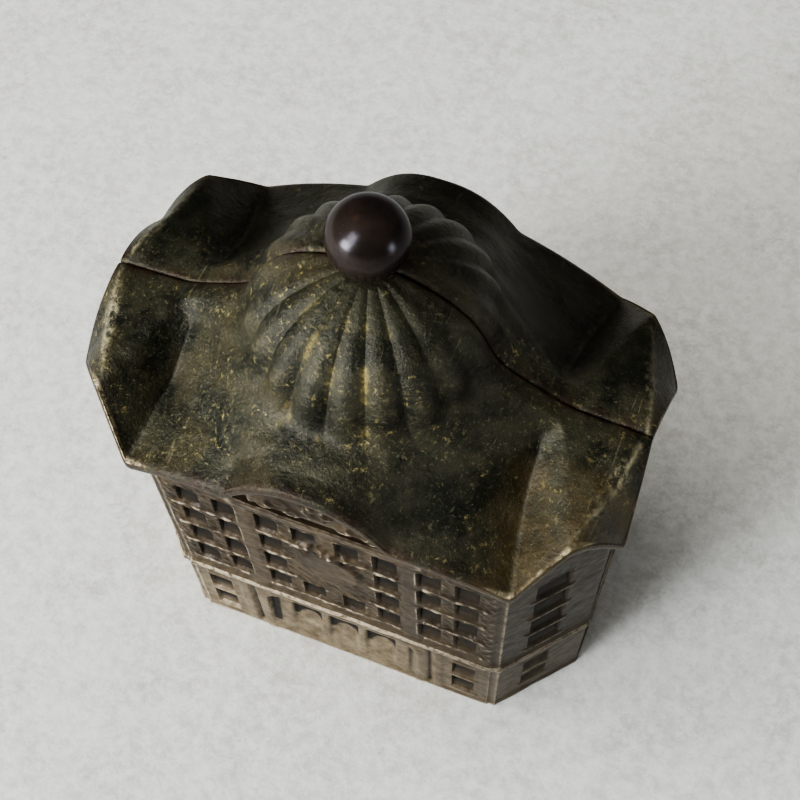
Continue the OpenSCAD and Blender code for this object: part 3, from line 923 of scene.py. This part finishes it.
def build_lugs():
    """Four lugs on the front's end walls, which reach past the seam into the other half."""
    x = HALF_W - WALL_T - LUG_GAP - LUG_T
    foot = x + LUG_T + LUG_GAP + 0.2
    back = -LUG_FOOT - LUG_SHORT
    outline = [
        (x, back), (foot, back), (foot, -LUG_SHORT), (x + LUG_T, -LUG_SHORT),
        (x + LUG_T, LUG_REACH), (x, LUG_REACH),
    ]
    bm = bmesh.new()
    for side in (1, -1):
        for low in LUG_LOWS:
            ends = []
            for z in (low, low + LUG_H):
                ends.append([bm.verts.new((side * px * MM, py * MM, z * MM)) for px, py in outline])
                bm.faces.new(ends[-1])
            for k in range(len(outline)):
                j = (k + 1) % len(outline)
                bm.faces.new((ends[0][k], ends[0][j], ends[1][j], ends[1][k]))
    bmesh.ops.recalc_face_normals(bm, faces=bm.faces)
    bmesh.ops.bevel(bm, geom=bm.edges[:], offset=0.25 * MM, segments=2, affect="EDGES")
    lugs = from_bmesh("front_lugs", bm)
    soft_shaded(lugs.data)
    return lugs


fittings = [build_post(), build_lugs()]
for obj in fittings:
    place_half(obj, "front_half", "front_casting", False)

SCREW_R = 2.0
HEAD_R = 3.8
HEAD_H = 2.4
PITCH = 0.7
THREAD_IN = 0.28


def build_screw():
    """A slotted screw with a round head, turned along its axis with a rolled thread at its tip."""
    tip, head = screw_low.y, screw_high.y - HEAD_H
    rows = [(0.0, tip), (SCREW_R - 0.75, tip), (SCREW_R - 0.1, tip + 0.65)]
    rows += [(SCREW_R, y) for y in np.arange(tip + 0.75, tip + THREAD_L, PITCH / 7)]
    rows += [(SCREW_R, head - 0.2), (HEAD_R - 0.15, head), (HEAD_R, head + 0.18)]
    bulge = (HEAD_R**2 + HEAD_H**2) / (2 * HEAD_H)
    rise_from = math.asin(min(1, HEAD_R / bulge))
    for k in range(1, 14):
        a = rise_from * (1 - k / 14)
        height = bulge * math.cos(a) - bulge + HEAD_H
        if height > 0.3:
            rows.append((bulge * math.sin(a), head + height))
    rows.append((0.0, head + HEAD_H))
    screw = lathe("screw", rows, 56, 35)
    thread_end = tip + THREAD_L - 1
    for vertex in screw.data.vertices:
        x, y, z = vertex.co / MM
        r = math.hypot(x, y)
        if abs(r - SCREW_R) < 0.15 and z < thread_end:
            phase = (z / PITCH + math.atan2(y, x) / (2 * math.pi)) % 1
            cut = THREAD_IN * abs(2 * phase - 1)
            vertex.co.x *= (r - cut) / r
            vertex.co.y *= (r - cut) / r
    along_y(screw, 0, SCREW_Z)
    cut_slot(screw)
    return screw


def cut_slot(screw):
    """The driver's slot across the head."""
    half_w, deep = 0.55, 1.3
    bm = bmesh.new()
    bmesh.ops.create_cube(bm, size=1)
    size = Matrix.Diagonal((4 * HEAD_R * MM, 2 * deep * MM, 2 * half_w * MM, 1))
    bm.transform(Matrix.Translation(Vector((0, screw_high.y, SCREW_Z)) * MM) @ size)
    cutter = from_bmesh("slot_cutter", bm)
    cut = screw.modifiers.new("slot", "BOOLEAN")
    cut.object = cutter
    cut.solver = "EXACT"
    depsgraph = bpy.context.evaluated_depsgraph_get()
    screw.data = bpy.data.meshes.new_from_object(screw.evaluated_get(depsgraph))
    screw.modifiers.clear()
    bpy.data.objects.remove(cutter)


screw = build_screw()
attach(screw, "screw")
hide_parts("assembly_screw")


# ---- materials


class Nodes:
    """A short way to lay out a material's nodes."""

    def __init__(self, name):
        self.mat = bpy.data.materials.new(name)
        self.mat.use_nodes = True
        self.tree = self.mat.node_tree
        self.tree.nodes.clear()
        self.out = self.add("ShaderNodeOutputMaterial")
        self.bsdf = self.add("ShaderNodeBsdfPrincipled")
        self.link(self.bsdf.outputs[0], self.out.inputs[0])
        self.coords = self.add("ShaderNodeTexCoord").outputs["Object"]
        self.coords_in_use = self.coords
        self.colour = None

    def add(self, kind, **settings):
        node = self.tree.nodes.new(kind)
        for key, value in settings.items():
            setattr(node, key, value)
        return node

    def link(self, a, b):
        self.tree.links.new(a, b)

    def put(self, socket, value):
        if hasattr(value, "is_output"):
            self.link(value, socket)
        else:
            socket.default_value = value

    def fill(self, node, values):
        for key, value in values.items():
            self.put(node.inputs[key], value)
        return node.outputs[0]

    def give(self, key, value):
        """Sets one input of the surface itself."""
        self.put(self.bsdf.inputs[key], value)

    def math(self, operation, a, b=0.0):
        return self.fill(self.add("ShaderNodeMath", operation=operation), {0: a, 1: b})

    def times(self, a, b):
        return self.math("MULTIPLY", a, b)

    def rest(self, share):
        return self.math("SUBTRACT", 1.0, share)

    def noise(self, size_mm, detail=4.0, rough=0.55, distortion=0.0):
        values = {"Scale": 1 / (size_mm * MM), "Detail": detail, "Roughness": rough}
        values.update({"Distortion": distortion, "Vector": self.coords_in_use})
        return self.fill(self.add("ShaderNodeTexNoise"), values)

    def place(self, axis):
        node = self.add("ShaderNodeSeparateXYZ")
        self.link(self.coords, node.inputs[0])
        return node.outputs[axis]

    def rough(self, share, low, high):
        node = self.add("ShaderNodeMapRange")
        self.give("Roughness", self.fill(node, {"Value": share, "To Min": low, "To Max": high}))

    def stretched(self, stretch, turn):
        values = {"Scale": stretch, "Rotation": turn, "Vector": self.coords}
        return self.fill(self.add("ShaderNodeMapping"), values)

    def ramp(self, value, low, high):
        """0 at low and 1 at high."""
        node = self.add("ShaderNodeMapRange", interpolation_type="SMOOTHSTEP")
        return self.fill(node, {"Value": value, "From Min": low, "From Max": high})

    def value(self, name):
        return self.add("ShaderNodeAttribute", attribute_name=name).outputs["Fac"]

    def blend(self, share, a, b):
        node = self.add("ShaderNodeMix", data_type="RGBA")
        self.put(node.inputs[0], share)
        self.put(node.inputs[6], a if hasattr(a, "is_output") else (*a, 1))
        self.put(node.inputs[7], b if hasattr(b, "is_output") else (*b, 1))
        return node.outputs[2]

    def over(self, share, colour):
        """Lays a colour over the one so far, where the share says."""
        self.colour = self.blend(share, self.colour, colour)

    def bump(self, height, distance_mm, strength=1.0, under=None):
        values = {"Strength": strength, "Distance": distance_mm * MM, "Height": height}
        if under is not None:
            values["Normal"] = under
        return self.fill(self.add("ShaderNodeBump"), values)


def roof_patina(n):
    """Dark olive, clouded, with ochre spots and fine grit."""
    tone = n.ramp(n.noise(7, 6, 0.66), 0.38, 0.64)
    n.colour = n.blend(tone, (0.0064, 0.0080, 0.0055), (0.0370, 0.0362, 0.0230))
    warm = n.times(n.ramp(n.noise(14, 4, 0.6), 0.48, 0.66), 0.45)
    n.over(warm, (0.032, 0.024, 0.010))
    mottle = n.ramp(n.noise(1.3, 7, 0.72), 0.46, 0.74)
    n.over(n.times(mottle, 0.5), (0.046, 0.042, 0.026))
    fine = n.ramp(n.noise(0.5, 6, 0.7), 0.34, 0.52)
    patches = n.ramp(n.noise(11, 4, 0.6), 0.42, 0.58)
    spots = n.ramp(n.noise(1.1, 8, 0.78, 0.3), 0.555, 0.64)
    n.over(n.times(n.times(spots, patches), 0.85), (0.26, 0.215, 0.090))
    grit = n.times(n.ramp(n.noise(0.5, 6, 0.75), 0.57, 0.66), 0.6)
    n.over(grit, (0.17, 0.155, 0.095))
    return fine


def ochre_in_grooves(n, fine):
    """Ochre left in the dome's grooves, towards the middle of the front."""
    off_middle = n.math("ABSOLUTE", n.math("ADD", n.place(0), -0.001))
    front = n.times(n.ramp(n.place(1), -0.005, -0.012), n.ramp(off_middle, 0.011, 0.006))
    smear = n.times(n.ramp(n.noise(2.6, 8, 0.76), 0.44, 0.58), front)
    in_groove = n.times(n.ramp(n.value("groove"), 0.35, 0.95), smear)
    in_groove = n.times(in_groove, n.ramp(n.noise(7, 4, 0.6), 0.44, 0.60))
    n.over(n.times(in_groove, fine), (0.20, 0.16, 0.055))


def roof_wear(n):
    """Worn metal on what stands out and on the folds, rust and bare spots at the rims."""
    patchy = n.ramp(n.noise(1.5, 9, 0.78, 0.3), 0.46, 0.60)
    worn = n.times(n.ramp(n.value("relief"), 0.10, 0.5), patchy)
    n.over(n.times(worn, 0.75), (0.30, 0.26, 0.165))
    on_fold = n.times(n.value("fold"), n.ramp(n.noise(2.2, 9, 0.78), 0.42, 0.60))
    n.over(n.times(on_fold, 0.70), (0.30, 0.265, 0.17))
    rust = n.times(n.value("rim"), n.ramp(n.noise(3, 6, 0.7), 0.34, 0.62))
    n.over(n.times(rust, 0.85), (0.022, 0.0075, 0.0045))
    rub = n.times(n.ramp(n.value("rim"), 0.72, 1.0), n.ramp(n.noise(6, 8, 0.7), 0.58, 0.66))
    knocked = n.times(n.ramp(n.value("knocks"), 0.25, 0.6), n.ramp(n.noise(1.6, 9, 0.78), 0.40, 0.56))
    bare = n.math("MAXIMUM", n.times(rub, 0.45), n.times(knocked, 0.9))
    n.over(bare, (0.44, 0.37, 0.24))
    n.give("Metallic", bare)


def roof_scratches(n):
    """Fine scratches in three directions."""
    for turn, size in ((0.5, 0.9), (1.9, 1.3), (2.7, 0.8)):
        n.coords_in_use = n.stretched((1, 0.05, 1), (0, 0, turn))
        scratch = n.ramp(n.noise(size, 3, 0.5, 0.8), 0.70, 0.73)
        n.over(n.times(scratch, 0.28), (0.20, 0.18, 0.11))
    n.coords_in_use = n.coords


def roof_painted_shade_and_scoop_tint(n):
    """Painted shade on the half behind the seam, and ochre-brown in the scoops at the right, partly
    painted light on their lit faces.
    """
    # Painted shade: the half behind the seam darker.
    n.over(n.times(n.ramp(n.place(1), 0.001, 0.012), 0.75), (0.006, 0.0065, 0.004))
    # Ochre-brown in the right scoops, partly painted light on their lit faces.
    scoop = n.times(n.ramp(n.place(0), 0.022, 0.030), n.ramp(n.place(2), 0.089, 0.083))
    scoop = n.times(scoop, n.ramp(n.noise(6, 6, 0.7), 0.34, 0.60))
    scoop = n.times(scoop, n.ramp(n.place(1), -0.006, -0.012))
    n.over(n.times(scoop, 0.6), (0.060, 0.042, 0.018))


def roof_material():
    """Dark olive patina with ochre left in the hollows, worn metal on the folds and rusty rims, and
    painted shade on the back half.
    """
    n = Nodes("roof_patina")
    fine = roof_patina(n)
    ochre_in_grooves(n, fine)
    roof_wear(n)
    roof_scratches(n)
    roof_painted_shade_and_scoop_tint(n)
    n.over(n.rest(n.value("outside")), (0.060, 0.045, 0.034))
    n.give("Base Color", n.colour)
    n.rough(n.noise(2.2, 7, 0.7), 0.24, 0.50)
    n.give("Specular IOR Level", 0.42)
    n.give("Specular Tint", (1.0, 0.92, 0.76, 1))
    grain = n.bump(n.noise(0.5, 6, 0.7), 0.16)
    pits = n.bump(n.noise(1.6, 6, 0.6), 0.22, 1.0, grain)
    n.give("Normal", n.bump(n.noise(6, 4, 0.55), 0.5, 1.0, pits))
    return n.mat


def wall_material():
    """Worn paint over iron: pale on what stands out and towards the foot, with painted shade in the
    recesses and on the right side.
    """
    n = Nodes("wall_paint")
    tone = n.ramp(n.noise(7, 5, 0.6), 0.35, 0.65)
    n.colour = n.blend(tone, (0.034, 0.0225, 0.012), (0.074, 0.052, 0.029))
    mottle = n.ramp(n.noise(1.2, 7, 0.75), 0.42, 0.70)
    n.over(n.times(mottle, 0.65), (0.020, 0.014, 0.008))
    foot = n.ramp(n.place(2), 0.034, 0.012)
    pale = n.blend(n.ramp(n.noise(2.4, 7, 0.7), 0.3, 0.7), (0.25, 0.20, 0.13), (0.105, 0.077, 0.047))
    front = n.ramp(n.place(1), 0.012, -0.024)
    foot = n.times(foot, n.math("ADD", 0.35, n.times(front, 0.45)))
    n.over(foot, pale)
    relief = n.value("relief")
    # Painted shade: near black in the recesses, in the entrance's reveals and under the door heads.
    painted_recess_shade = n.times(n.ramp(n.times(relief, -1.0), 0.12, 0.72), 0.96)
    n.over(painted_recess_shade, (0.0045, 0.0032, 0.0020))
    worn = n.times(n.ramp(relief, 0.09, 0.26), n.ramp(n.noise(1.3, 8, 0.75), 0.38, 0.54))
    n.over(n.times(worn, 0.85), (0.42, 0.355, 0.26))
    # Painted shade: the walls darker towards the right side (+X).
    shade = n.times(n.ramp(n.place(0), 0.006, 0.032), 0.60)
    n.over(shade, (0.016, 0.011, 0.006))
    n.over(n.rest(n.value("outside")), (0.070, 0.053, 0.040))
    n.give("Base Color", n.colour)
    n.rough(n.math("MAXIMUM", n.noise(2, 5, 0.6), painted_recess_shade), 0.30, 0.60)
    n.give("Metallic", n.times(n.rest(painted_recess_shade), 0.3))
    n.give("Specular IOR Level", 0.35)
    grain = n.bump(n.noise(0.9, 1, 0.4), 0.05)
    pits = n.bump(n.noise(2.0, 2, 0.45), 0.22, 1.0, grain)
    n.give("Normal", pits)
    return n.mat


def ball_material():
    n = Nodes("ball_lacquer")
    tone = n.ramp(n.noise(5, 5, 0.6), 0.3, 0.7)
    n.colour = n.blend(tone, (0.020, 0.0140, 0.0110), (0.040, 0.028, 0.0215))
    rubbed = n.times(n.ramp(n.noise(3.1, 7, 0.7), 0.58, 0.68), 0.2)
    n.over(rubbed, (0.11, 0.048, 0.022))
    n.give("Base Color", n.colour)
    n.rough(n.noise(1.5, 5, 0.6), 0.22, 0.30)
    n.give("Specular IOR Level", 0.75)
    n.give("Metallic", 0.35)
    n.give("Specular Tint", (0.42, 0.46, 0.56, 1))
    n.give("Normal", n.bump(n.noise(0.8, 4, 0.5), 0.02))
    return n.mat


def screw_material():
    n = Nodes("screw_steel")
    tone = n.ramp(n.noise(1.5, 6, 0.65), 0.35, 0.65)
    n.colour = n.blend(tone, (0.16, 0.13, 0.10), (0.33, 0.31, 0.28))
    n.give("Base Color", n.colour)
    n.give("Metallic", 0.85)
    n.rough(n.noise(0.9, 5, 0.6), 0.34, 0.52)
    n.give("Normal", n.bump(n.noise(0.4, 5, 0.6), 0.03))
    return n.mat


def floor_material():
    """Pale plaster, faintly clouded, with small scuffs."""
    n = Nodes("floor_plaster")
    tone = n.ramp(n.noise(18, 10, 0.8), 0.36, 0.64)
    n.colour = n.blend(tone, (0.367, 0.359, 0.326), (0.456, 0.451, 0.418))
    clouds = n.ramp(n.noise(3, 8, 0.85), 0.38, 0.62)
    n.over(n.times(clouds, 0.8), (0.553, 0.548, 0.516))
    scuffs = n.ramp(n.noise(5, 10, 0.84, 0.6), 0.55, 0.66)
    n.over(n.times(scuffs, 0.55), (0.314, 0.303, 0.265))
    specks = n.ramp(n.noise(1.4, 6, 0.75), 0.63, 0.72)
    n.over(n.times(specks, 0.5), (0.254, 0.243, 0.211))
    n.give("Base Color", n.colour)
    n.give("Roughness", 0.8)
    n.give("Normal", n.bump(n.noise(3, 8, 0.7), 0.25, 0.6))
    return n.mat


def paint(obj, material):
    obj.data.materials.clear()
    obj.data.materials.append(material)


wall_paint = wall_material()
roof_patina = roof_material()
for walls_obj, roof_obj in shells.values():
    paint(walls_obj, wall_paint)
    paint(roof_obj, roof_patina)
paint(ball, ball_material())
for obj in fittings:
    paint(obj, wall_paint)
paint(screw, screw_material())


# ---- floor, light, camera


FLOOR_HALF = 3.0


def build_floor():
    corners = [(FLOOR_HALF * x, FLOOR_HALF * y, 0) for x, y in ((-1, -1), (1, -1), (1, 1), (-1, 1))]
    mesh = bpy.data.meshes.new("floor")
    mesh.from_pydata(corners, [], [(0, 1, 2, 3)])
    floor = in_scene("floor", mesh)
    paint(floor, floor_material())


def add_area(name, place, aim, size, power, colour, glossy=True):
    light = bpy.data.lights.new(name, "AREA")
    light.shape = "RECTANGLE"
    light.size, light.size_y = size
    light.energy = power
    light.color = colour
    lamp = in_scene(name, light)
    lamp.location = place
    lamp.visible_glossy = glossy
    lamp.rotation_mode = "QUATERNION"
    lamp.rotation_quaternion = (Vector(aim) - Vector(place)).to_track_quat("-Z", "Y")


def from_side(azimuth, elevation, distance=1.0):
    """A place by its turn from the front (left is negative) and its height angle, in degrees."""
    a, e = math.radians(azimuth), math.radians(elevation)
    level = math.cos(e)
    return Vector((math.sin(a) * level, -math.cos(a) * level, math.sin(e))) * distance


def build_light():
    world = bpy.data.worlds.new("room")
    world.use_nodes = True
    sky = world.node_tree.nodes["Background"]
    sky.inputs[0].default_value = (0.95, 0.97, 1.0, 1)
    sky.inputs[1].default_value = 0.14
    bpy.context.scene.world = world
    aim = (0, 0, 0.06)
    add_area("window", from_side(-37, 17, 1.2), aim, (0.42, 0.36), 15, (0.93, 0.965, 1.0))
    add_area("window_high", from_side(-31, 40, 1.2), aim, (0.36, 0.60), 9, (0.88, 0.93, 1.0))
    add_area("wall_left", from_side(-85, 16, 1.2), aim, (0.7, 0.35), 7, (1.0, 0.97, 0.92), False)
    add_area("window_right", from_side(82, 6, 0.9), aim, (0.18, 0.34), 1.8, (0.88, 0.94, 1.0))
    add_area("ceiling", (-0.6, -0.35, 1.5), (0, 0, 0), (1.3, 1.3), 23, (1.0, 0.99, 0.965), False)
    add_area("wall_behind", from_side(165, 28, 1.6), aim, (1.2, 0.9), 6, (1.0, 0.98, 0.95), False)
    bpy.context.scene.view_settings.look = "AgX - High Contrast"


CAMERA_TURN = 23.9
CAMERA_HEIGHT = 63.52
CAMERA_ROLL = -3.06
CAMERA_AIM = (-4.84, 18.72, 26.42)
CAMERA_DISTANCE = 279.5
CAMERA_LENS = 63.92


def build_camera():
    """A hand-held view from above the front wall's right half."""
    back = from_side(CAMERA_TURN, CAMERA_HEIGHT)
    data = bpy.data.cameras.new("camera")
    data.lens = CAMERA_LENS
    data.sensor_width = 36
    data.clip_start, data.clip_end = 0.01, 20
    camera = in_scene("camera", data)
    camera.location = (Vector(CAMERA_AIM) + back * CAMERA_DISTANCE) * MM
    camera.rotation_mode = "QUATERNION"
    level = (-back).to_track_quat("-Z", "Y")
    roll = Matrix.Rotation(math.radians(CAMERA_ROLL), 3, "Z").to_quaternion()
    camera.rotation_quaternion = level @ roll
    bpy.context.scene.camera = camera


build_floor()
build_light()
build_camera()
